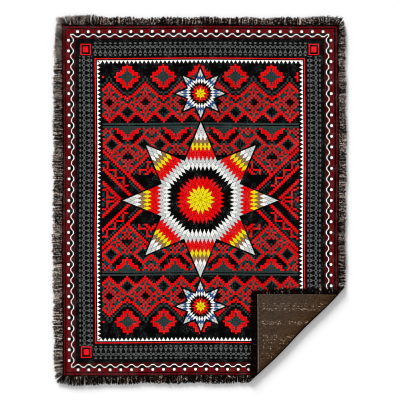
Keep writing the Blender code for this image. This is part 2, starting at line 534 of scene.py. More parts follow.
cloth_mesh = bpy.data.meshes.new("woven_cloth")
sheet.to_mesh(cloth_mesh)
sheet.free()
flat_points = mesh_points(cloth_mesh)
set_points(cloth_mesh, laid(flat_points[:, 0], flat_points[:, 1], flat_points[:, 2]))
cloth_mesh.shade_smooth()
cloth_mesh.set_sharp_from_angle(angle=SHARP_ANGLE)
cloth = bpy.data.objects.new("woven_cloth", cloth_mesh)
bpy.context.scene.collection.objects.link(cloth)
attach(cloth, "root")
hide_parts("blanket")
highest = mesh_points(cloth_mesh)[:, 2].max()
print("cloth:", len(cloth.data.polygons), "faces, highest point", round(highest, 4), "m")

# %% [markdown]
# ## Arithmetic in a shader
#
# The border is too fine for one face a stitch, so the shader works it out from the flat place:
# how far in from the edge a yarn is, and how far along. Its nodes could be set and linked one by
# one, but there are some hundreds. A small class lets the rules be written as sums, and makes a
# Math node for each sign.


# %% Shader arithmetic
class Term:
    """A number in a material's node tree."""

    def __init__(self, tree, socket):
        self.tree = tree
        self.socket = socket

    def made(self, operation, *others):
        node = self.tree.nodes.new("ShaderNodeMath")
        node.operation = operation
        for place, value in enumerate((self, *others)):
            if isinstance(value, Term):
                self.tree.links.new(value.socket, node.inputs[place])
            else:
                node.inputs[place].default_value = value
        return Term(self.tree, node.outputs[0])

    def __add__(self, other):
        return self.made("ADD", other)

    def __sub__(self, other):
        return self.made("SUBTRACT", other)

    def __mul__(self, other):
        return self.made("MULTIPLY", other)

    def __truediv__(self, other):
        return self.made("DIVIDE", other)

    def __abs__(self):
        return self.made("ABSOLUTE")

    def __lt__(self, other):
        return self.made("LESS_THAN", other)

    def __gt__(self, other):
        return self.made("GREATER_THAN", other)

    def __and__(self, other):
        return self.made("MINIMUM", other)

    def __or__(self, other):
        return self.made("MAXIMUM", other)

    def between(self, low, high):
        return (self > low) & (self < high)

    def floor(self):
        return self.made("FLOOR")

    def sine(self):
        return self.made("SINE")

    def held(self):
        """The same, kept between 0 and 1."""
        return (self & 1.0) | 0.0

    def blend(self, when_off, when_on):
        """One of two terms or numbers, picked by this 0 or 1."""
        return (self * when_on) + ((self * -1.0 + 1.0) * when_off)

    def from_nearest(self, spacing):
        """The distance to the nearest of evenly spaced places."""
        return self.made("PINGPONG", spacing / 2)


print("besides sums a Term knows:", [name for name in vars(Term) if not name.startswith("_")])

# %% [markdown]
# ## New finishes and places
#
# Every finish here is matt, so one helper starts them all from the Principled shader with hardly
# any gloss. Each could be set up by itself, but then they would drift apart. The places stored
# as UV maps are read with one node each, which is all the input that a woven finish needs.

# %% New finishes and places
YARN_SPECULAR = 0.04


def new_material(name, roughness):
    material = bpy.data.materials.new(name)
    material.use_nodes = True
    shader = material.node_tree.nodes["Principled BSDF"]
    shader.inputs["Roughness"].default_value = roughness
    shader.inputs["Specular IOR Level"].default_value = YARN_SPECULAR
    return material, material.node_tree, shader


def add_node(tree, kind, **settings):
    node = tree.nodes.new(kind)
    for name, value in settings.items():
        setattr(node, name, value)
    return node


def mapped_place(tree, name):
    """The two parts of a place that is stored as a UV map."""
    place = add_node(tree, "ShaderNodeUVMap", uv_map=name)
    parts = add_node(tree, "ShaderNodeSeparateXYZ")
    tree.links.new(place.outputs[0], parts.inputs[0])
    return Term(tree, parts.outputs[0]), Term(tree, parts.outputs[1])


def joined(tree, x, y):
    node = add_node(tree, "ShaderNodeCombineXYZ")
    tree.links.new(x.socket, node.inputs[0])
    tree.links.new(y.socket, node.inputs[1])
    return node.outputs[0]


print("places stored on the cloth:", [layer.name for layer in cloth_mesh.uv_layers])

# %% [markdown]
# ## Chance and layers
#
# No two yarns are quite alike. A random number for each small cell gives single yarns their
# tones, and soft noise gives drifts over many of them. Colours are laid over one another like
# layers of paint: simple to read, and a late layer hides an early one, as a float of yarn does.

# %% Chance and layers
# A Mix node has sockets for numbers and for directions first; these are its colour sockets
MIX_BASE = 6
MIX_TOP = 7
MIX_RESULT = 2


def random_cell(tree, x, y):
    """A number from 0 to 1 that is the same all over one cell."""
    node = add_node(tree, "ShaderNodeTexWhiteNoise", noise_dimensions="2D")
    tree.links.new(joined(tree, x.floor(), y.floor()), node.inputs["Vector"])
    return Term(tree, node.outputs["Value"])


def soft_noise(tree, x, y, scale, detail=2.0):
    node = add_node(tree, "ShaderNodeTexNoise", noise_dimensions="2D")
    node.inputs["Scale"].default_value = scale
    node.inputs["Detail"].default_value = detail
    tree.links.new(joined(tree, x, y), node.inputs["Vector"])
    return Term(tree, node.outputs[0])


def over(tree, base, mask, colour):
    """Lays a plain or a worked-out colour over another where the mask is 1."""
    node = add_node(tree, "ShaderNodeMix", data_type="RGBA")
    tree.links.new(mask.socket, node.inputs["Factor"])
    tree.links.new(base, node.inputs[MIX_BASE])
    if isinstance(colour, tuple):
        node.inputs[MIX_TOP].default_value = (*colour, 1.0)
    else:
        tree.links.new(colour, node.inputs[MIX_TOP])
    return node.outputs[MIX_RESULT]


def shaded(tree, base, strength):
    """Multiplies a colour by a term, for the tone of single yarns."""
    node = add_node(tree, "ShaderNodeVectorMath", operation="SCALE")
    tree.links.new(base, node.inputs[0])
    tree.links.new(strength.socket, node.inputs["Scale"])
    return node.outputs[0]


print("a layer mixes sockets", MIX_BASE, "and", MIX_TOP, "into", MIX_RESULT)

# %% [markdown]
# ## Where a yarn is in the border
#
# From the edge inwards the border is a thin dark red line, a dark red band with white dots and a
# white wavy line, a charcoal band with a grey repeat and a red square at each corner, a bright red
# line, and a white sawtooth. Four strips with mitred corners could be drawn apart. Measuring from
# the nearest edge does all four sides at once, and mitres the corners by itself.

# %% Where a yarn is in the border
# The border starts a little further in at the top and right edges than at the other two
TOP_HEADING = 0.0030
RIGHT_HEADING = 0.0048
RIGHT_LINE_SHIFT = 0.0034


class BorderPlace(NamedTuple):
    """Where a yarn is, seen from the nearest edge."""

    from_side: Term
    from_end: Term
    deep: Term
    on_side: Term
    along: Term
    to_corner: Term
    line_deep: Term


def border_place(x, y):
    from_right = (x * -1.0) + (CLOTH_WIDTH / 2 - RIGHT_HEADING)
    from_left = x + CLOTH_WIDTH / 2
    from_side = from_right & from_left
    from_top = (y * -1.0) + (CLOTH_LENGTH / 2 - TOP_HEADING)
    from_end = from_top & (y + CLOTH_LENGTH / 2)
    on_side = from_side < from_end
    return BorderPlace(
        from_side=from_side,
        from_end=from_end,
        deep=from_side & from_end,
        on_side=on_side,
        along=on_side.blend(x, y),
        to_corner=from_side | from_end,
        line_deep=(from_right + RIGHT_LINE_SHIFT) & from_left & from_end,
    )


print("what the border knows of a yarn:", BorderPlace._fields)

# %% [markdown]
# ## The sawtooth and the bright red line
#
# White teeth point into the black middle, one every 20 mm, with a bright red line outside them.
# Over two hundred of them would be slow to draw one by one. But a tooth is the part between a
# straight base and a line that swings from valley to tip, so one Math node that goes to and fro
# along the edge draws them all.

# %% Sawtooth and bright red line
FIELD_START = 0.1850
SAW_BASE = 0.1641
SAW_VALLEY = 0.1645
SAW_TIP = 0.1802
SAW_PITCH = 0.01953
RED_LINE = (0.1534, 0.1582)
BRIGHT_RED = linear(236, 18, 26)
YARN_WHITE = linear(250, 250, 247)


def lay_sawtooth(tree, colour, at):
    colour = over(tree, colour, at.deep < FIELD_START, BLACK)
    saw_step = at.along.from_nearest(SAW_PITCH) / (SAW_PITCH / 2)
    saw_reach = (saw_step * (SAW_VALLEY - SAW_TIP)) + SAW_TIP
    saw = (at.deep > SAW_BASE) & (at.deep < saw_reach)
    colour = over(tree, colour, saw, YARN_WHITE)
    return over(tree, colour, at.deep.between(*RED_LINE), BRIGHT_RED)


print("teeth on a short edge:", round((CLOTH_WIDTH - 2 * SAW_TIP) / SAW_PITCH))

# %% [markdown]
# ## The charcoal band
#
# The widest ring is charcoal with a grey repeat: a bud, a lattice of crossed strokes, a drop with
# a dark eye, and a foot. A picture of it could be tiled, but would blur from near. Ellipses and
# slanted strokes around the middle of each repeat stay as crisp as a thread at any size.

# %% Charcoal band
CHARCOAL = linear(5, 7, 7)
CHARCOAL_BAND = (0.0628, 0.1500)
GLYPH_GREY = linear(97, 97, 97)
GLYPH_PITCH = 0.0235
GLYPH_START = 0.1430
# Each ellipse: how deep its middle is, half length along the edge, half depth
BUD = (0.0838, 0.0068, 0.0042)
DROP_EYE = (0.1308, 0.0034, 0.0030)
FOOT = (0.1388, 0.0060, 0.0040)
# The crossed strokes: where each starts, its half width, their slope and their range
FALLING_STROKE = (0.0938, 0.0026)
RISING_STROKE = (0.1108, 0.0021)
STROKE_SLOPE = 1.05
LATTICE_BAND = (0.0912, 0.1125)
DROP_TIP = 0.1118
DROP_WIDENING = 0.50
DROP_BAND = (0.1135, 0.1318)


def ellipse(along, deep, middle, half_length, half_depth):
    beside = along / half_length
    beyond = (deep - middle) / half_depth
    return ((beside * beside) + (beyond * beyond)) < 1.0


def grey_repeat(at):
    beside = at.along.from_nearest(GLYPH_PITCH)
    bud = ellipse(beside, at.deep, *BUD)
    slant = beside * STROKE_SLOPE
    falling = abs(at.deep - FALLING_STROKE[0] - slant) < FALLING_STROKE[1]
    rising = abs(at.deep - RISING_STROKE[0] + slant) < RISING_STROKE[1]
    lattice = (falling | rising) & at.deep.between(*LATTICE_BAND)
    drop = (beside < ((at.deep - DROP_TIP) * DROP_WIDENING)) & at.deep.between(*DROP_BAND)
    shape = bud | lattice | (drop - ellipse(beside, at.deep, *DROP_EYE))
    return (shape | ellipse(beside, at.deep, *FOOT)) & (at.to_corner > GLYPH_START)


print("repeats on a long edge:", round((CLOTH_LENGTH - 2 * GLYPH_START) / GLYPH_PITCH))

# %% [markdown]
# ## The corner squares
#
# Where two charcoal bands meet there is a red square with a red heart. It is the difference of
# two boxes with a third one inside, each cut by its distance from the square's middle. That is
# shorter than adding it to the stitch chart, and works for all four corners at once.

# %% Corner squares
# Each pair: along the short edges first, and along the long edges second
SQUARE_MIDDLE = (0.1115, 0.1125)
SQUARE_HALF = (0.0244, 0.0266)
SQUARE_LINE = 0.0046
SQUARE_HEART = (0.0120, 0.0136)


def corner_square(from_side, from_end):
    across = abs(from_side - SQUARE_MIDDLE[0])
    down = abs(from_end - SQUARE_MIDDLE[1])
    outer = (across < SQUARE_HALF[0]) & (down < SQUARE_HALF[1])
    inner = (across < SQUARE_HALF[0] - SQUARE_LINE) & (down < SQUARE_HALF[1] - SQUARE_LINE)
    heart = (across < SQUARE_HEART[0]) & (down < SQUARE_HEART[1])
    return (outer - inner) | heart


def lay_charcoal_band(tree, colour, at):
    colour = over(tree, colour, at.deep.between(*CHARCOAL_BAND), CHARCOAL)
    colour = over(tree, colour, grey_repeat(at), GLYPH_GREY)
    return over(tree, colour, corner_square(at.from_side, at.from_end), BRIGHT_RED)


print("a corner square is", 2 * SQUARE_HALF[0], "by", 2 * SQUARE_HALF[1], "m")

# %% [markdown]
# ## The dark red band
#
# A white line waves along the dark red band, with black half moons in its hollows and a white dot
# outside each. The wave could be a sine, but the woven one is stepped and dwells at crest and
# trough, so a straight swing is cut off at both ends instead.

# %% Dark red band
BAND_RED = linear(104, 7, 11)
DEEP_RED = linear(66, 3, 5)
RED_BAND = (0.0180, 0.0628)
HALF_MOON = (0.0372, 0.0600)
WAVE_CREST = 0.0418
WAVE_TROUGH = 0.0533
WAVE_HALF = 0.0022
# How steeply the line swings back from its trough, and how long it dwells there
WAVE_STEEPNESS = 1.9
WAVE_LEAD = 1.45
DOT_PITCH = 0.05015
DOT_RADIUS = 0.0067
DOT_DEPTH_ENDS = 0.0293
DOT_DEPTH_SIDES = 0.0312
# A thin darker ring around each dot, as a share of the dot's radius
DOT_RING = 1.35
CORNER_CLEAR = 0.050


def lay_red_band(tree, colour, at):
    colour = over(tree, colour, at.deep.between(*RED_BAND), BAND_RED)
    dot_phase = at.on_side.blend(DOT_PITCH / 2, 0.0)
    from_dot = (at.along + dot_phase).from_nearest(DOT_PITCH)
    swing = (((from_dot / (DOT_PITCH / 2)) * -WAVE_STEEPNESS) + WAVE_LEAD).held()
    wave = (swing * (WAVE_TROUGH - WAVE_CREST)) + WAVE_CREST
    below_wave = at.deep - wave
    inner_band = (below_wave > 0.0) & at.deep.between(*RED_BAND)
    colour = over(tree, colour, inner_band, DEEP_RED)
    half_moon = (below_wave < 0.0) & at.deep.between(*HALF_MOON)
    colour = over(tree, colour, half_moon, BLACK)
    colour = over(tree, colour, abs(below_wave) < WAVE_HALF, YARN_WHITE)
    dot_depth = at.deep - at.on_side.blend(DOT_DEPTH_ENDS, DOT_DEPTH_SIDES)
    dot_distance = ((from_dot * from_dot) + (dot_depth * dot_depth)).made("SQRT")
    clear = at.to_corner > CORNER_CLEAR
    ring = (dot_distance < DOT_RING * DOT_RADIUS) & clear & (at.deep < HALF_MOON[0])
    colour = over(tree, colour, ring, DEEP_RED)
    return over(tree, colour, (dot_distance < DOT_RADIUS) & clear, YARN_WHITE)


print("a dot and a wave every", DOT_PITCH, "m")

# %% [markdown]
# ## The edge line
#
# The outermost line is dark red and thin, with small ticks that reach out to the fringe. It
# starts nearer the edge at top and bottom. It could be a strip of its own, but as one more ring
# it shares the border's corners. The rings are then laid over the middle from the inside out.

# %% Edge line and whole border
EDGE_RED = linear(98, 8, 12)
EDGE_LINE = (0.0080, 0.0128)
END_LINE_START = 0.0054
TICK_PITCH = 0.0207
TICK_HALF = 0.0028


def lay_edge_line(tree, colour, at):
    from_tick = (at.along.from_nearest(TICK_PITCH) / TICK_HALF).held()
    line_start = at.on_side.blend(END_LINE_START, EDGE_LINE[0])
    line = (at.line_deep > (from_tick * line_start)) & (at.line_deep < EDGE_LINE[1])
    return over(tree, colour, line, EDGE_RED)


def border(tree, colour, x, y):
    """Draws the border over the base colour, ring by ring."""
    at = border_place(x, y)
    for lay_ring in (lay_sawtooth, lay_charcoal_band, lay_red_band, lay_edge_line):
        colour = lay_ring(tree, colour, at)
    return colour


print("the border is", FIELD_START, "m wide")

# %% [markdown]
# ## The stars
#
# The middle of the throw carries plain eight-pointed stars, pieced of rows of small diamonds as
# on old quilts. Each diamond could be a face of its own. Instead, folding the plane four times
# lays all sixteen half points on one another, and two slanted distances then say which row of
# diamonds a yarn is in.

# %% Star sizes
# One float of yarn on the face
YARN_WIDE = 0.00235
YARN_HIGH = 0.0023
# Half the angle of one of the eight points
HALF_POINT = math.radians(22.5)
YELLOW = linear(240, 219, 10)
PALE = linear(205, 209, 207)
SNOW = linear(240, 240, 236)
BLUE = linear(38, 84, 146)
TAN = linear(150, 112, 76)
BIG_ROWS = (
    YELLOW, YELLOW, RED, RED, BLACK, BLACK, SNOW, PALE, RED, RED, YELLOW, TAN, SNOW, PALE, PALE,
)
SMALL_ROWS = (YELLOW, RED, BLACK, SNOW, BLUE, PALE, PALE)
# Each star: centre x and y, reach of its points, and the colours of its rows from the middle
STARS = (
    (0.0, 0.0, 0.365, BIG_ROWS),
    (0.0, 0.500, 0.116, SMALL_ROWS),
    (0.0, -0.500, 0.116, SMALL_ROWS),
)


def slanted_distances(x, y):
    """How far along its two sides a point of the star lies, the longer distance first."""
    wide = abs(x) | abs(y)
    narrow = abs(x) & abs(y)
    cosine, sine = math.cos(2 * HALF_POINT), math.sin(2 * HALF_POINT)
    diagonal = narrow > (wide * math.tan(HALF_POINT))
    along = diagonal.blend(wide, (wide * cosine) + (narrow * sine))
    beside = diagonal.blend(narrow, (wide * sine) - (narrow * cosine))
    straight = along / (2 * math.cos(HALF_POINT))
    slanted = beside / (2 * math.sin(HALF_POINT))
    return straight + slanted, straight - slanted


print("rows of diamonds in the large star:", len(BIG_ROWS))

# %% [markdown]
# ## Piecing a star
#
# In a pieced star each row of diamonds has one colour, and thin seams run between them. A Color
# Ramp with hard steps holds the colours in order. A long chain of Mix nodes would do the same,
# but the ramp shows the whole star at one glance.

# %% Piecing a star
STAR_EDGE = 0.0110
STAR_SEAM = 0.0013
STAR_SEAM_TONE = 0.35


def star(tree, base, x, y, reach, rows):
    """Lays one star and its thin black edge over the base colour."""
    far, near = slanted_distances(x, y)
    side = reach / (2 * math.cos(HALF_POINT))
    colour = over(tree, base, far < side + STAR_EDGE, BLACK)
    patch = side / (len(rows) + 1) * 2
    row = (far / patch).floor() + (near / patch).floor()
    seam = (far.from_nearest(patch) & near.from_nearest(patch)) < STAR_SEAM
    ramp = add_node(tree, "ShaderNodeValToRGB")
    ramp.color_ramp.interpolation = "CONSTANT"
    stops = ramp.color_ramp.elements
    while len(stops) < len(rows):
        stops.new(1.0)
    for number, shade in enumerate(rows):
        stops[number].position = number / len(rows)
        stops[number].color = (*shade, 1.0)
    place = (row + 0.5) / len(rows)
    tree.links.new(place.socket, ramp.inputs[0])
    pieced = shaded(tree, ramp.outputs[0], seam.blend(1.0, STAR_SEAM_TONE))
    return over(tree, colour, far < side, pieced)


print("stars:", len(STARS))

# %% [markdown]
# ## Yarn tones and ribs
#
# Jacquard cloth is never one flat colour. Each float of yarn catches the light a little
# differently, so every small cell gets its own tone, with streaks and slow drifts over it. The
# ribs of the weave are finer than a stitch, so they are a bump of crossed waves and fuzz, and not
# a shape.

# %% Yarn tones and ribs
# Streaks are fine and run up and down the cloth, and drifts are broad
STREAK_SCALE = 160.0
STREAK_STRETCH = 0.35
STREAK_GAIN = 2.2
DRIFT_SCALE = 5.0
DRIFT_GAIN = 0.22
FUZZ_SCALE = 420.0
FUZZ_DETAIL = 3.0
RIB_SHARE = 0.5
RIB_BUMP = 0.0004
RIB_STRENGTH = 0.5


def yarn_tone(tree, x, y, spread):
    """A multiplier near 1 for each yarn float, with slower drifts over it."""
    float_tone = random_cell(tree, x / YARN_WIDE, y / YARN_HIGH)
    streak = soft_noise(tree, x, y * STREAK_STRETCH, STREAK_SCALE)
    drift = soft_noise(tree, x, y, DRIFT_SCALE)
    tone = (float_tone - 0.5) * spread
    tone = tone + ((streak - 0.5) * (STREAK_GAIN * spread)) + ((drift - 0.5) * DRIFT_GAIN)
    return tone + 1.0


def weave_bump(tree, shader, x, y):
    ribs = (x * (math.tau / YARN_WIDE)).sine() * (y * (math.tau / YARN_HIGH)).sine()
    fuzz = soft_noise(tree, x, y, FUZZ_SCALE, FUZZ_DETAIL)
    height = (ribs * RIB_SHARE) + fuzz
    bump = add_node(tree, "ShaderNodeBump")
    bump.inputs["Strength"].default_value = RIB_STRENGTH
    bump.inputs["Distance"].default_value = RIB_BUMP
    tree.links.new(height.socket, bump.inputs["Height"])
    tree.links.new(bump.outputs[0], shader.inputs["Normal"])


print("yarns to a stitch:", round(STITCH_WIDTH / YARN_WIDE))

# %% [markdown]
# ## Lint
#
# Black cotton gathers grey lint, and it lies on the cloth in clouds. Loose fibres could be laid on
# it as tiny curves, but from above they are only a haze. One noise gives the fluff and a broader
# one the clouds, and lint lies where both are high.

# %% Lint
FLUFF_SCALE = 170.0
FLUFF_START = 0.46
CLOUD_SCALE = 24.0
CLOUD_DETAIL = 3.0
CLOUD_START = 0.47
LINT_STRENGTH = 2.4
LINT_GREY = linear(146, 154, 154)


def lint(tree, x, y):
    fluff = soft_noise(tree, x, y, FLUFF_SCALE)
    cloud = soft_noise(tree, x, y, CLOUD_SCALE, CLOUD_DETAIL)
    return (fluff - FLUFF_START).held() * (cloud - CLOUD_START).held() * LINT_STRENGTH


print("a cloud of lint is about", round(1 / CLOUD_SCALE, 3), "m wide")

# %% [markdown]
# ## The woven face
#
# The face shows the chart's stitches, over them the stars, rounded to whole yarns, and over both
# the border. Tones vary most on dark yarns and hardly on white ones. The yarn is matt, so it gets
# no sheen. Each ring and star could have a material of its own, but then every boundary would
# need a cut in the mesh. One material does it all, as it is one cloth on the loom too.

# %% Woven face
FACE_ROUGHNESS = 0.88
FACE_SPREAD = 0.42
FACE_TONE = 0.92
WHITE_TONE = 0.99
# The seam around each stitch: how dark it is, and its share of the stitch
SEAM_TONE = 0.55
SEAM_SHARE = 0.08


def face_material():
    material, tree, shader = new_material("woven_face", FACE_ROUGHNESS)
    x, y = mapped_place(tree, "flat_place")
    chart = add_node(tree, "ShaderNodeAttribute", attribute_name="stitch")
    across, up = mapped_place(tree, "stitch_place")
    seam = (across.from_nearest(1.0) & up.from_nearest(1.0)) < SEAM_SHARE
    colour = shaded(tree, chart.outputs["Color"], seam.blend(1.0, SEAM_TONE))
    yarn_x = ((x / YARN_WIDE) + 0.5).floor() * YARN_WIDE
    yarn_y = ((y / YARN_HIGH) + 0.5).floor() * YARN_HIGH
    for star_x, star_y, reach, rows in STARS:
        colour = star(tree, colour, yarn_x - star_x, yarn_y - star_y, reach, rows)
    colour = border(tree, colour, x, y)
    grey = add_node(tree, "ShaderNodeRGBToBW")
    tree.links.new(colour, grey.inputs[0])
    brightness = Term(tree, grey.outputs[0]).held()
    tone = brightness.blend(yarn_tone(tree, x, y, FACE_SPREAD) * FACE_TONE, WHITE_TONE)
    colour = over(tree, shaded(tree, colour, tone), lint(tree, x, y), LINT_GREY)
    tree.links.new(colour, shader.inputs["Base Color"])
    weave_bump(tree, shader, x, y)
    return material


cloth_mesh.materials.append(face_material())
print("nodes in the woven face:", len(cloth_mesh.materials[FACE_SLOT].node_tree.nodes))

# %% [markdown]
# ## The back
#
# On the back the pattern's floats are tied down under a brown weft, so the back is plain brown,
# warmer towards the fold, with rows of fine tan specks that follow the border's bands. Specks
# could be drawn by hand. A random number for each cell and a share for each row scatter them as
# evenly as a loom does.

# %% Specks and hem of the back
SPECK_TAN = linear(176, 160, 140)
# Rows of specks: distance from the side edge, half width, and share of the cells filled
SPECK_ROWS = (
    (0.043, 0.0024, 0.352), (0.054, 0.0030, 0.352), (0.070, 0.0060, 0.396),
    (0.134, 0.0100, 0.330), (0.198, 0.0090, 0.308), (0.214, 0.0040, 0.352),
    (0.228, 0.0030, 0.352), (0.250, 0.0060, 0.264), (0.290, 0.0140, 0.176),
)
SPECK_ALONG = 0.0040
SPECK_ACROSS = 0.0038
SPECK_CLEAR = 0.02
# Most specks are faint and a few are pale: the faintest, and how much the palest adds to it
FAINTEST = 0.06
PALEST_GAIN = 0.85
# Moves the second random number to other cells, so that it doesn't repeat the first
OTHER_CELLS = 500.0
HEM_TAN = linear(96, 86, 73)
HEM_AT_ENDS = 0.0048
HEM_AT_SIDES = 0.0018


def lay_specks(tree, colour, x, y):
    from_side = (abs(x) * -1.0) + CLOTH_WIDTH / 2
    from_end = (abs(y) * -1.0) + CLOTH_LENGTH / 2
    chance = random_cell(tree, x / SPECK_ACROSS, y / SPECK_ALONG)
    paleness = random_cell(tree, (x / SPECK_ACROSS) + OTHER_CELLS, y / SPECK_ALONG)
    paleness = (paleness * paleness * paleness * PALEST_GAIN) + FAINTEST
    for depth, half, share in SPECK_ROWS:
        row = (abs(from_side - depth) < half) & (chance < share) & (from_end > SPECK_CLEAR)
        colour = over(tree, colour, row * paleness, SPECK_TAN)
    hem = (from_end < HEM_AT_ENDS) | (from_side < HEM_AT_SIDES)
    return over(tree, colour, hem, HEM_TAN)


print("rows of specks:", len(SPECK_ROWS))

# %% [markdown]
# ## The back's brown and its fold
#
# The brown weft turns darker where it goes round the fold, because less light gets in there. The
# render would find some of that by itself. A dark line and a short shade help it, and a coarse
# grain gives the rough weft its salt and pepper look.

# %% Woven back
BACK_ROUGHNESS = 0.92
BACK_SPREAD = 0.5
BACK_BROWN = linear(69, 57, 46)
BACK_WARM = linear(60, 39, 20)
FOLD_DARK = linear(26, 12, 5)
FOLD_LINE = 0.0100
FOLD_SHADE = 0.6
FOLD_SHADE_REACH = 0.035
GRAIN_CELL = 0.0042
GRAIN_SPREAD = 0.85


def back_material():
    material, tree, shader = new_material("woven_back", BACK_ROUGHNESS)
    x, y = mapped_place(tree, "flat_place")
    from_corner = ((x - y) * -DIAGONAL) + (CREST + FLAP_SIDE * DIAGONAL)
    warmth = (from_corner * (1 / (FLAP_SIDE * DIAGONAL))).held()
    brown = add_node(tree, "ShaderNodeMix", data_type="RGBA")
    brown.inputs[MIX_BASE].default_value = (*BACK_BROWN, 1.0)
    brown.inputs[MIX_TOP].default_value = (*BACK_WARM, 1.0)
    tree.links.new((warmth * warmth).socket, brown.inputs["Factor"])
    colour = lay_specks(tree, brown.outputs[MIX_RESULT], x, y)
    past_crest = ((x - y) * DIAGONAL) - (BEND_START + BEND_LENGTH / 2)
    colour = over(tree, colour, past_crest < FOLD_LINE, FOLD_DARK)
    near_fold = (past_crest / FOLD_SHADE_REACH).held()
    colour = shaded(tree, colour, near_fold.blend(FOLD_SHADE, 1.0))
    grain = random_cell(tree, x / GRAIN_CELL, y / GRAIN_CELL)
    colour = shaded(tree, colour, ((grain - 0.5) * GRAIN_SPREAD) + 1.0)
    colour = shaded(tree, colour, yarn_tone(tree, x, y, BACK_SPREAD))
    tree.links.new(colour, shader.inputs["Base Color"])
    weave_bump(tree, shader, x, y)
    return material


cloth_mesh.materials.append(back_material())
print("nodes in the woven back:", len(cloth_mesh.materials[BACK_SLOT].node_tree.nodes))

# %% [markdown]
# ## The cut edge
#
# The edge is only 2 mm high and nearly black, with the ends of dark yarns in it. A colour alone
# would do, but a little noise in its red and green keeps it from looking painted.

# %% Cut edge
EDGE_ROUGHNESS = 0.9
EDGE_SCALE = 300.0
EDGE_RED_SHARE = 0.03
EDGE_GREEN_SHARE = 0.6


def edge_material():
    material, tree, shader = new_material("cut_edge", EDGE_ROUGHNESS)
    x, y = mapped_place(tree, "flat_place")
    tone = soft_noise(tree, x, y, EDGE_SCALE) * EDGE_RED_SHARE
    mixed = joined(tree, tone, tone * EDGE_GREEN_SHARE)
    tree.links.new(mixed, shader.inputs["Base Color"])
    return material


cloth_mesh.materials.append(edge_material())
print("cloth finishes:", [material.name for material in cloth_mesh.materials])

# %% [markdown]
# ## The fringe along each edge
#
# The fringe is a few thousand crinkled yarn ends: the warp's at top and bottom, the weft's at the
# sides. Hair curves could grow it, but a finished piece has to be a plain mesh, so the strands
# are meshes from the start, placed by rule. Each edge has its own length, waves and tone. The
# sides' weft is lighter than the ends' warp, and painted shade darkens the bottom fringe against
# the top one and the right against the left.


# %% Fringe sizes
class Edge(NamedTuple):
    """One edge and its fringe. Its first end is on the left, seen from the throw's middle."""

    degrees: int
    span: float
    from_middle: float
    mean_length: float
    rise: float
    waves: float
    phase: float
    first_gain: float
    last_gain: float
    strands_per_metre: int
    lightness_and_shade: float


# The last number lightens the weft at the sides, and darkens the bottom and right as painted shade
EDGES = {
    "top": Edge(
        degrees=0, span=CLOTH_WIDTH, from_middle=CLOTH_LENGTH / 2,
        mean_length=0.0350, rise=0.0035, waves=7.0, phase=0.6,
        first_gain=0.0140, last_gain=0.0060, strands_per_metre=1500, lightness_and_shade=0.06,
    ),
    "left": Edge(
        degrees=90, span=CLOTH_LENGTH, from_middle=CLOTH_WIDTH / 2,
        mean_length=0.0465, rise=0.0040, waves=9.0, phase=2.1,
        first_gain=-0.0035, last_gain=-0.0115, strands_per_metre=1150, lightness_and_shade=0.52,
    ),
    "bottom": Edge(
        degrees=180, span=CLOTH_WIDTH, from_middle=CLOTH_LENGTH / 2,
        mean_length=0.0375, rise=0.0035, waves=6.0, phase=4.0,
        first_gain=0.0, last_gain=0.0090, strands_per_metre=1500, lightness_and_shade=-0.38,
    ),
    "right": Edge(
        degrees=270, span=CLOTH_LENGTH, from_middle=CLOTH_WIDTH / 2,
        mean_length=0.0350, rise=0.0030, waves=8.0, phase=5.2,
        first_gain=0.0, last_gain=-0.0070, strands_per_metre=1150, lightness_and_shade=0.24,
    ),
}
# The packed solids that each fringe stands in for
EDGE_NODES = {
    "top": ("fringe_top",),
    "left": ("fringe_left",),
    "bottom": ("fringe_bottom", "fringe_bottom_turned"),
    "right": ("fringe_right", "fringe_right_turned"),
}
print("edges:", {name: edge.span for name, edge in EDGES.items()})

# %% [markdown]
# ## How long the fringe is
#
# A fringe is never cut quite even. Along an edge its length follows a long wave and a short
# ripple, and it changes towards both ends. It could be drawn as a curve for each edge, but two
# sines and two gains need only the few numbers in the table above.

# %% Length along an edge
WAVE_SHARE = 0.7
RIPPLE_SHARE = 0.3
RIPPLE_TURN = 110.0
END_REACH = 0.38


def fringe_length(edge, place):
    wave = np.sin(math.tau * edge.waves * place / edge.span + edge.phase)
    ripple = np.sin(RIPPLE_TURN * place + edge.phase)
    near_first = smooth_step(1 - (edge.span / 2 + place) / END_REACH)
    near_last = smooth_step(1 - (edge.span / 2 - place) / END_REACH)
    gain = edge.first_gain * near_first + edge.last_gain * near_last
    return edge.mean_length + gain + edge.rise * (WAVE_SHARE * wave + RIPPLE_SHARE * ripple)


print("fringe at the middle of the top:", round(fringe_length(EDGES["top"], 0.0), 4), "m")

# %% [markdown]
# ## One strand
#
# A yarn end is a thin round thing, but at this size a square section looks the same and has half
# the faces. It is extruded step by step from a small square, so that it can be bent later, and
# its tip is scaled down to a taper. Each step takes the cap's own edges along, so that no face is
# left inside.

# %% One strand
STRAND_STEPS = 9
TIP_SCALE = 0.3


def straight_strand():
    """A strand of length 1 along Z with a square section of radius 1, tapered at its tip."""
    strand = bmesh.new()
    bmesh.ops.create_circle(strand, segments=4, radius=1.0, cap_ends=True)
    root = strand.faces[:]
    start = bmesh.ops.extrude_face_region(strand, geom=root, use_keep_orig=True)["geom"]
    for step in range(STRAND_STEPS):
        points = [part for part in start if isinstance(part, bmesh.types.BMVert)]
        bmesh.ops.translate(strand, verts=points, vec=(0, 0, 1 / STRAND_STEPS))
        if step < STRAND_STEPS - 1:
            cap = [part for part in start if isinstance(part, bmesh.types.BMFace)]
            rim = list(cap[0].edges)
            start = bmesh.ops.extrude_face_region(strand, geom=cap + rim)["geom"]
    bmesh.ops.scale(strand, verts=points, vec=(TIP_SCALE, TIP_SCALE, 1))
    bmesh.ops.recalc_face_normals(strand, faces=strand.faces)
    mesh = bpy.data.meshes.new("strand")
    strand.to_mesh(mesh)
    strand.free()
    return mesh


strand_mesh = straight_strand()
print("one strand:", len(strand_mesh.vertices), "points,", len(strand_mesh.polygons), "faces")

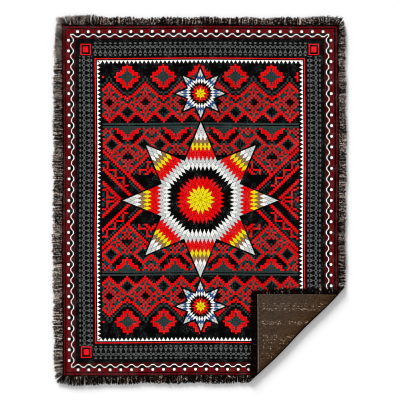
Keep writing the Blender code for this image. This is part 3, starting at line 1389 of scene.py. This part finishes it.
# %% [markdown]
# ## Many strands
#
# An Array modifier repeats the strand as often as an edge needs. Joining thousands of objects
# would be slow. The copies start in one and the same place, one after another in the list of
# points, so that each can then be given its own.


# %% Many strands
def repeated(mesh, count):
    """The mesh many times over in one mesh, copy after copy."""
    holder = bpy.data.objects.new("strands", mesh)
    bpy.context.scene.collection.objects.link(holder)
    array = holder.modifiers.new("Copies", "ARRAY")
    array.count = count
    array.use_relative_offset = False
    array.use_constant_offset = False
    seen = holder.evaluated_get(bpy.context.evaluated_depsgraph_get())
    copies = bpy.data.meshes.new_from_object(seen)
    bpy.data.objects.remove(holder)
    return copies


strand_counts = {
    name: round(edge.span * edge.strands_per_metre) for name, edge in EDGES.items()
}
print("strands:", strand_counts)

# %% [markdown]
# ## Chance in the fringe
#
# Yarn ends cling together in small locks, so a lock leans and crinkles as one, and its strands
# differ only a little. Two kinds of random draw do that: one for each lock, and one for each
# strand. The seed is fixed, so the fringe is the same each time.

# %% Chance in the fringe
SEED = 54
LOCK_STRANDS = 5
dice = np.random.default_rng(SEED)


class Draws:
    """Random numbers for the strands of one edge."""

    def __init__(self, count):
        self.count = count
        self.lock_number = np.arange(count) // LOCK_STRANDS

    def strand(self, low, high):
        return dice.uniform(low, high, (self.count, 1))

    def lock(self, low, high):
        return dice.uniform(low, high, self.lock_number[-1] + 1)[self.lock_number][:, None]


print("locks on the top edge:", strand_counts["top"] // LOCK_STRANDS)

# %% [markdown]
# ## How a strand runs
#
# A yarn end leans with its lock, fans out at the throw's corners, and keeps the crinkle that the
# weave pressed into it. It could be simulated, but two sines along the strand are quick and the
# same on every run: one gives the crinkle, and one lifts it off the floor here and there. Both
# start at nothing at the root, where the yarn is still held.

# %% How a strand runs
FAN_REACH = 0.065
FAN_ANGLE = math.radians(38)
CRINKLE = 0.0019
CRINKLE_LENGTH = 0.0125
STRAND_HUMP = 0.0036
HUMP_TURNS = 1.3
FIRM_SHARE = 0.25
ROOT_GAP = 0.0001
# Ranges of the random draws, for locks and for strands
PLACE_SPREAD = 0.9
LOCK_LEAN = 0.15
STRAND_LEAN = 0.14
LOCK_LENGTHS = (0.90, 1.08)
STRAND_LENGTHS = (0.78, 1.04)
PHASE_SPREAD = 1.6
CRINKLE_STRETCH = (0.75, 1.4)
CRINKLE_SIZES = (0.4, 1.25)
HUMP_SIZES = (0.3, 1.0)


def strand_run(edge, share, draws):
    """Each point's place along the edge, its reach outwards, and the height of its hump."""
    spacing = edge.span / draws.count
    place = (np.arange(draws.count)[:, None] + 0.5) * spacing - edge.span / 2
    place = place + draws.strand(-PLACE_SPREAD, PLACE_SPREAD) * spacing
    to_corner = edge.span / 2 - abs(place)
    fan = np.sign(place) * FAN_ANGLE * smooth_step(1 - to_corner / FAN_REACH)
    lean = fan + draws.lock(-LOCK_LEAN, LOCK_LEAN) + draws.strand(-STRAND_LEAN, STRAND_LEAN)
    length = fringe_length(edge, place)
    length = length * draws.lock(*LOCK_LENGTHS) * draws.strand(*STRAND_LENGTHS)
    phase = draws.lock(0, math.tau) + draws.strand(-PHASE_SPREAD, PHASE_SPREAD)
    turn = math.tau * share * length / (CRINKLE_LENGTH * draws.lock(*CRINKLE_STRETCH)) + phase
    loose = np.minimum(share / FIRM_SHARE, 1)
    crinkle = CRINKLE * draws.strand(*CRINKLE_SIZES) * (np.sin(turn) - np.sin(phase)) * loose
    hump = STRAND_HUMP * (0.5 + 0.5 * np.cos(HUMP_TURNS * turn))
    hump = hump * draws.strand(*HUMP_SIZES) * loose
    along = place + np.sin(lean) * share * length + crinkle
    return along, np.cos(lean) * share * length + ROOT_GAP, hump


print("crinkles in a strand of 35 mm:", round(EDGES["top"].mean_length / CRINKLE_LENGTH, 1))

# %% [markdown]
# ## Laying the strands
#
# The strands are worked out as if every edge were the top one, turned to their own edge, and sent
# through the same laying rule as the cloth. So the ends beyond the turned corner lie on the face
# by themselves, where a fringe made apart would have to be fitted to the fold.

# %% Laying the strands
STRAND_RADIUS = 0.0012
RADIUS_RANGE = (0.75, 1.0)


def laid_strands(edge, points, draws):
    """The laid points of one edge's strands, and which of them are past the fold."""
    along, outward, hump = strand_run(edge, points[:, :, 2], draws)
    radius = STRAND_RADIUS * draws.strand(*RADIUS_RANGE)
    along = along + points[:, :, 0] * radius
    angle = math.radians(edge.degrees)
    flat_x = along * math.cos(angle) - (outward + edge.from_middle) * math.sin(angle)
    flat_y = along * math.sin(angle) + (outward + edge.from_middle) * math.cos(angle)
    turned = (flat_x - flat_y) * DIAGONAL > BEND_START + BEND_LENGTH
    # The minus turns the section instead of mirroring it, so that its faces still point outwards
    section = points[:, :, 1] * radius
    lift = radius - CLOTH_THICKNESS / 2 + hump * np.where(turned, -1, 1) - section
    return laid(flat_x.ravel(), flat_y.ravel(), lift.ravel()), turned


print("a strand is up to", 2 * STRAND_RADIUS, "m thick")

# %% [markdown]
# ## Tones of the strands
#
# Rubbed yarn is pale and fresh yarn dark, and neighbouring locks alternate lighter and darker,
# partly as twisted ends do and partly as painted light and shade. The yarns on the flap are
# turned over with the corner and darker, partly by their undersides and partly by painted shade.
# A tone is stored for each point, so one material serves every strand.

# %% Tones of the strands
TWIST_AND_SHADE_TONE = 0.95
LOCK_TONE = 0.70
STRAND_TONE = 0.30
TURNED_SHADE = 0.95


def store_tones(mesh, edge, share, turned, draws):
    tone = LOCK_TONE * draws.lock(-1, 1) + STRAND_TONE * draws.strand(-1, 1) + edge.lightness_and_shade
    # Neighbouring locks alternate lighter and darker: partly the twist, partly painted light and
    # shade
    tone = tone + TWIST_AND_SHADE_TONE * np.where(draws.lock_number % 2 == 0, 1, -1)[:, None]
    # The turned strands are darker: partly their undersides, partly painted shade
    tone = tone - TURNED_SHADE * turned
    for name, values in (("tone", tone), ("reach", share)):
        layer = mesh.attributes.new(name, "FLOAT", "POINT")
        layer.data.foreach_set("value", values.ravel())


print("locks differ in tone by up to", 2 * (TWIST_AND_SHADE_TONE + LOCK_TONE))

# %% [markdown]
# ## Flecks and patches
#
# Worn yarn is mottled: small strong flecks, and large weak patches that run over many strands.
# Its palest flecks are partly painted highlights on the crinkles.
# They are noise in the piece's own space, because the strands have no UV map, and a patch has to
# go on from one strand to the next. The tone and reach of each point are read as attributes.

# %% Flecks and patches
FLECK_SCALE = 150.0
FLECK_DETAIL = 2.0
FLECK_GAIN = 3.6
PATCH_SCALE = 34.0
PATCH_DETAIL = 1.0
PATCH_GAIN = 1.2


def noise_in_place(tree, scale, detail):
    place = add_node(tree, "ShaderNodeTexCoord")
    noise = add_node(tree, "ShaderNodeTexNoise")
    noise.inputs["Scale"].default_value = scale
    noise.inputs["Detail"].default_value = detail
    tree.links.new(place.outputs["Object"], noise.inputs["Vector"])
    return Term(tree, noise.outputs[0])


def stored(tree, name):
    return Term(tree, add_node(tree, "ShaderNodeAttribute", attribute_name=name).outputs["Fac"])


print("flecks are about", round(1 / FLECK_SCALE, 4), "m wide, patches", round(1 / PATCH_SCALE, 3))

# %% [markdown]
# ## The yarn of the fringe
#
# The yarn is nearly black where it is fresh, brown where it is a little worn, and a dusty taupe
# where it is rubbed, and its palest flecks are partly painted highlights. Thousands of strands
# can't be painted one by one. A Color Ramp that is driven by each strand's tone, with noise for
# flecks and larger patches and a little more light towards the tip, makes every one of them
# different.

# %% Fringe finish
YARN_ROUGHNESS = 0.8
TONE_GAIN = 0.6
TIP_GAIN = 0.12
YARN_SHIFT = 0.32
YARN_BUMP = 0.0004
YARN_BUMP_STRENGTH = 0.6
FRESH_YARN = linear(7, 2, 1)
BROWN_YARN = linear(52, 28, 17)
# The pale end of the ramp: rubbed yarn, and partly painted highlight
RUBBED_YARN_AND_HIGHLIGHT = linear(222, 201, 187)


def fringe_material():
    material, tree, shader = new_material("crinkled_yarn", YARN_ROUGHNESS)
    fleck = noise_in_place(tree, FLECK_SCALE, FLECK_DETAIL)
    patch = noise_in_place(tree, PATCH_SCALE, PATCH_DETAIL)
    light = ((fleck - 0.5) * FLECK_GAIN) + ((patch - 0.5) * PATCH_GAIN)
    light = light + (stored(tree, "tone") * TONE_GAIN) + (stored(tree, "reach") * TIP_GAIN)
    ramp = add_node(tree, "ShaderNodeValToRGB")
    ramp.color_ramp.elements[0].color = (*FRESH_YARN, 1.0)
    ramp.color_ramp.elements[1].color = (*RUBBED_YARN_AND_HIGHLIGHT, 1.0)
    middle = ramp.color_ramp.elements.new(0.5)
    middle.color = (*BROWN_YARN, 1.0)
    tree.links.new((light - YARN_SHIFT).socket, ramp.inputs[0])
    tree.links.new(ramp.outputs[0], shader.inputs["Base Color"])
    bump = add_node(tree, "ShaderNodeBump")
    bump.inputs["Strength"].default_value = YARN_BUMP_STRENGTH
    bump.inputs["Distance"].default_value = YARN_BUMP
    tree.links.new(fleck.socket, bump.inputs["Height"])
    tree.links.new(bump.outputs[0], shader.inputs["Normal"])
    return material


yarn = fringe_material()
print("fringe finish:", yarn.name)

# %% [markdown]
# ## The four fringes
#
# Each edge's fringe is one piece, because it hangs on one edge and moves with the cloth. Each
# takes the place of its packed locks.


# %% Make the fringes
def make_fringe(edge_name):
    edge = EDGES[edge_name]
    draws = Draws(strand_counts[edge_name])
    mesh = repeated(strand_mesh, draws.count)
    points = mesh_points(mesh).reshape(draws.count, len(strand_mesh.vertices), 3)
    laid_points, turned = laid_strands(edge, points, draws)
    set_points(mesh, laid_points)
    store_tones(mesh, edge, points[:, :, 2], turned, draws)
    mesh.shade_smooth()
    mesh.materials.append(yarn)
    piece = bpy.data.objects.new(f"crinkled_fringe_{edge_name}", mesh)
    bpy.context.scene.collection.objects.link(piece)
    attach(piece, "root")
    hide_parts(*EDGE_NODES[edge_name])
    print(piece.name, draws.count, "strands,", len(mesh.polygons), "faces")
    return piece


fringes = [make_fringe(edge_name) for edge_name in EDGES]

# %% [markdown]
# ## The floor
#
# The picture has a plain white ground with a soft shadow below and to the right of the throw. A
# 2 mm cloth on a floor throws hardly any, so the floor stands 9 mm under it, as when a throw is
# laid on a low board for its picture.

# %% Floor
FLOOR_HALF = 40.0
FLOOR_HEIGHT = -0.0090
FLOOR_WHITE = 0.99
FLOOR_ROUGHNESS = 0.9
floor_sheet = bmesh.new()
bmesh.ops.create_grid(floor_sheet, x_segments=1, y_segments=1, size=FLOOR_HALF)
bmesh.ops.translate(floor_sheet, verts=floor_sheet.verts, vec=(0, 0, FLOOR_HEIGHT))
floor_mesh = bpy.data.meshes.new("floor")
floor_sheet.to_mesh(floor_mesh)
floor_sheet.free()
floor = bpy.data.objects.new("floor", floor_mesh)
bpy.context.scene.collection.objects.link(floor)
floor_paint, _, floor_shader = new_material("pale_floor", FLOOR_ROUGHNESS)
floor_shader.inputs["Base Color"].default_value = (FLOOR_WHITE, FLOOR_WHITE, FLOOR_WHITE, 1.0)
floor_mesh.materials.append(floor_paint)
print("floor:", 2 * FLOOR_HALF, "m square,", -FLOOR_HEIGHT, "m below the throw")

# %% [markdown]
# ## Light
#
# One broad soft lamp, low at the upper left, gives the shadows their side. It could be an Area
# light, but a Sun with a wide angle is as soft, lights the throw evenly and is simpler to aim.
# White light from all around keeps the black cloth's pattern readable.

# %% Light
KEY_STRENGTH = 3.9
KEY_SOFTNESS = math.radians(22)
KEY_DIRECTION = (0.40, -0.82, -0.40)
AMBIENT = 0.53
key_data = bpy.data.lights.new("key", "SUN")
key_data.energy = KEY_STRENGTH
key_data.angle = KEY_SOFTNESS
key = bpy.data.objects.new("key", key_data)
key.rotation_euler = Vector(KEY_DIRECTION).to_track_quat("-Z", "Y").to_euler()
bpy.context.scene.collection.objects.link(key)
world = bpy.data.worlds.new("studio")
bpy.context.scene.world = world
world.use_nodes = True
background = world.node_tree.nodes["Background"]
background.inputs["Color"].default_value = (1, 1, 1, 1)
background.inputs["Strength"].default_value = AMBIENT
print("lamp strength", KEY_STRENGTH, "and light from all around", AMBIENT)

# %% [markdown]
# ## How far the throw reaches
#
# The finished throw may reach a little past the packed one, because its strands are looser than
# the packed locks.
